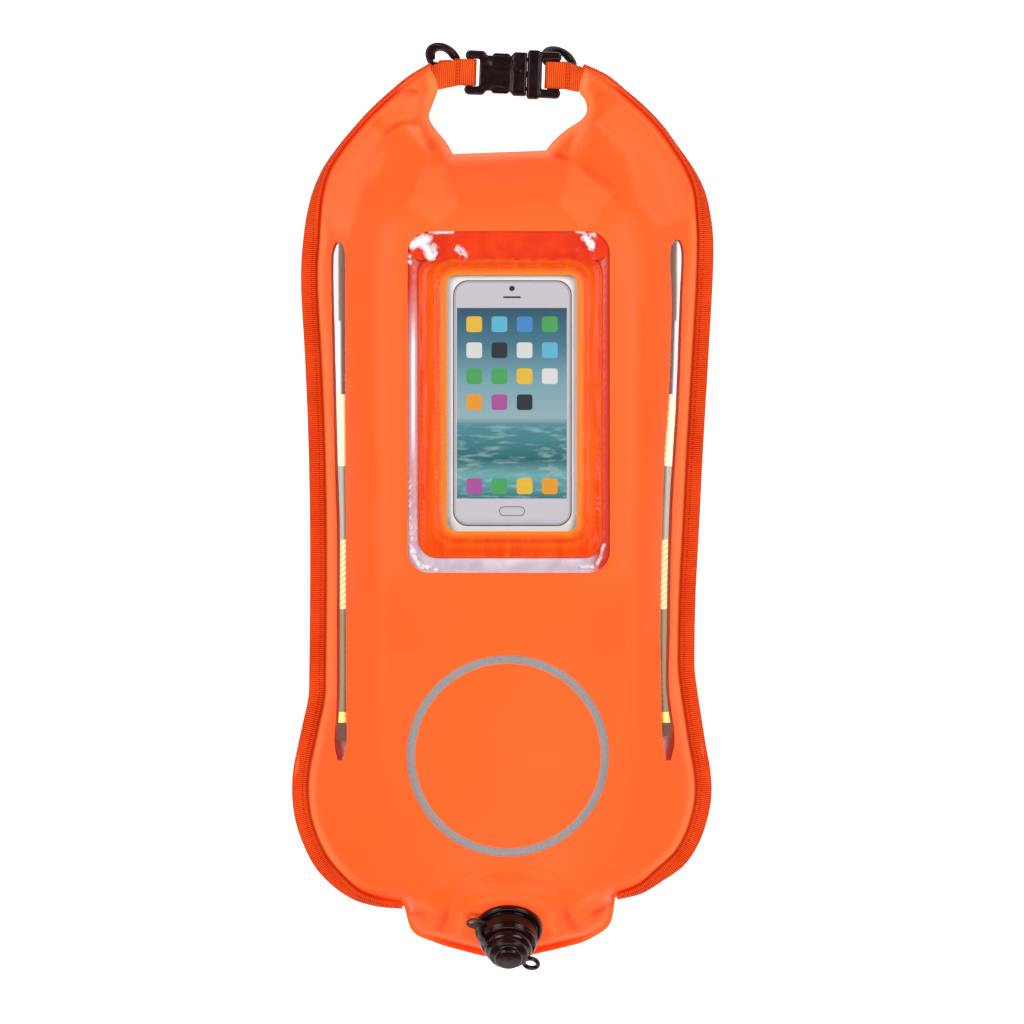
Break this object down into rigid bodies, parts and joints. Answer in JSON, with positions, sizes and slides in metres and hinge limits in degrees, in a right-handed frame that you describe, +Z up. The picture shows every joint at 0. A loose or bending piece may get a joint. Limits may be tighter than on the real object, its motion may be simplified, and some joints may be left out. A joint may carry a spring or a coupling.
{
  "type": "open water swim buoy",
  "caption": "Inflated dry-bag swim buoy with a buckled carrying loop, clear phone window, side reflector windows and a screw-in air valve with leashed cap.",
  "frame": {"origin": "on the ground, under the flat patch of the back that the bag rests on", "axes": "+X across the bag, +Y from the valve to the carrying loop, +Z up from the back to the front"},
  "size_m": [0.3144, 0.6912, 0.1359],
  "materials": {
    "bag_fabric": "smooth coated",
    "liner_fabric": "matte coated",
    "webbing": "ribbed woven",
    "buckle_plastic": "moulded satin",
    "clear_film": "clear glossy film",
    "pouch_vinyl": "glossy vinyl",
    "printed_card": "printed",
    "reflective_tape": "retroreflective",
    "reflective_print": "printed reflective grey",
    "stiff_strip": "plain",
    "valve_plastic": "moulded gloss",
    "valve_rubber": "moulded"
  },
  "bodies": {
    "bag": {"front_panel": "bag_fabric", "back_panel": "bag_fabric", "rolled_mouth": "bag_fabric", "dry_liner_front": "liner_fabric", "dry_liner_back": "liner_fabric", "side_webbing_left": "webbing", "side_webbing_right": "webbing", "handle_webbing_left": "webbing", "handle_webbing_right": "webbing", "d_ring_tab_left": "webbing", "d_ring_tab_right": "webbing", "mouth_stiffener": "stiff_strip", "window_film": "clear_film", "pouch_front_film": "clear_film", "side_window_film_left": "clear_film", "side_window_film_right": "clear_film", "pouch_frame": "pouch_vinyl", "pouch_back": "pouch_vinyl", "insert_card": "printed_card", "reflective_strip_left": "reflective_tape", "reflective_strip_right": "reflective_tape", "reflective_ring": "reflective_print", "buckle_female": "buckle_plastic", "valve_base": "valve_plastic"},
    "buckle_male_half": {"buckle_male": "buckle_plastic"},
    "prong_upper": {"buckle_prong_upper": "buckle_plastic"},
    "prong_lower": {"buckle_prong_lower": "buckle_plastic"},
    "ring_left": {"d_ring_left": "buckle_plastic"},
    "ring_right": {"d_ring_right": "buckle_plastic"},
    "collar": {"valve_collar": "valve_plastic", "valve_seal": "valve_rubber", "cap_leash": "valve_rubber"},
    "cap": {"valve_cap": "valve_plastic"},
    "diaphragm": {"valve_diaphragm": "valve_rubber"}
  },
  "joints": [
    {"name": "buckle_release", "type": "slide", "parent": "bag", "child": "buckle_male_half", "axis": [0.9993, -0.0366, 0], "range_m": [0, 0.009], "deforming": ["handle_webbing_right"]},
    {"name": "prong_press_upper", "type": "hinge", "parent": "buckle_male_half", "child": "prong_upper", "pos_m": [0.01829, 0.33256, 0.058], "axis": [0, 0, 1], "range_deg": [0, 6], "stiffness_Nm_per_rad": 0.02},
    {"name": "prong_press_lower", "type": "hinge", "parent": "buckle_male_half", "child": "prong_lower", "pos_m": [0.0175, 0.31097, 0.058], "axis": [0, 0, -1], "range_deg": [0, 6], "stiffness_Nm_per_rad": 0.02},
    {"name": "ring_swing_left", "type": "hinge", "parent": "bag", "child": "ring_left", "pos_m": [-0.0466, 0.33, 0.045], "axis": [0.9063, 0, 0.4226], "range_deg": [-160, 1.5]},
    {"name": "ring_swing_right", "type": "hinge", "parent": "bag", "child": "ring_right", "pos_m": [0.0399, 0.3288, 0.045], "axis": [0.9063, 0, -0.4226], "range_deg": [-75, 38]},
    {"name": "valve_unscrew", "type": "hinge", "parent": "bag", "child": "collar", "pos_m": [0.0004, -0.3126, 0.0925], "axis": [0, -0.7071, 0.7071], "range_deg": [0, 540]},
    {"name": "cap_pull", "type": "slide", "parent": "collar", "child": "cap", "axis": [0, -0.7071, 0.7071], "range_m": [0, 0.012], "deforming": ["cap_leash"]},
    {"name": "diaphragm_lift", "type": "slide", "parent": "collar", "child": "diaphragm", "axis": [0, 0.7071, -0.7071], "range_m": [0, 0.0012], "stiffness_N_per_m": 20, "springref_m": -0.0005}
  ],
  "couplings": [
    {"joint": "prong_press_lower", "follows": "prong_press_upper", "ratio": 1}
  ]
}
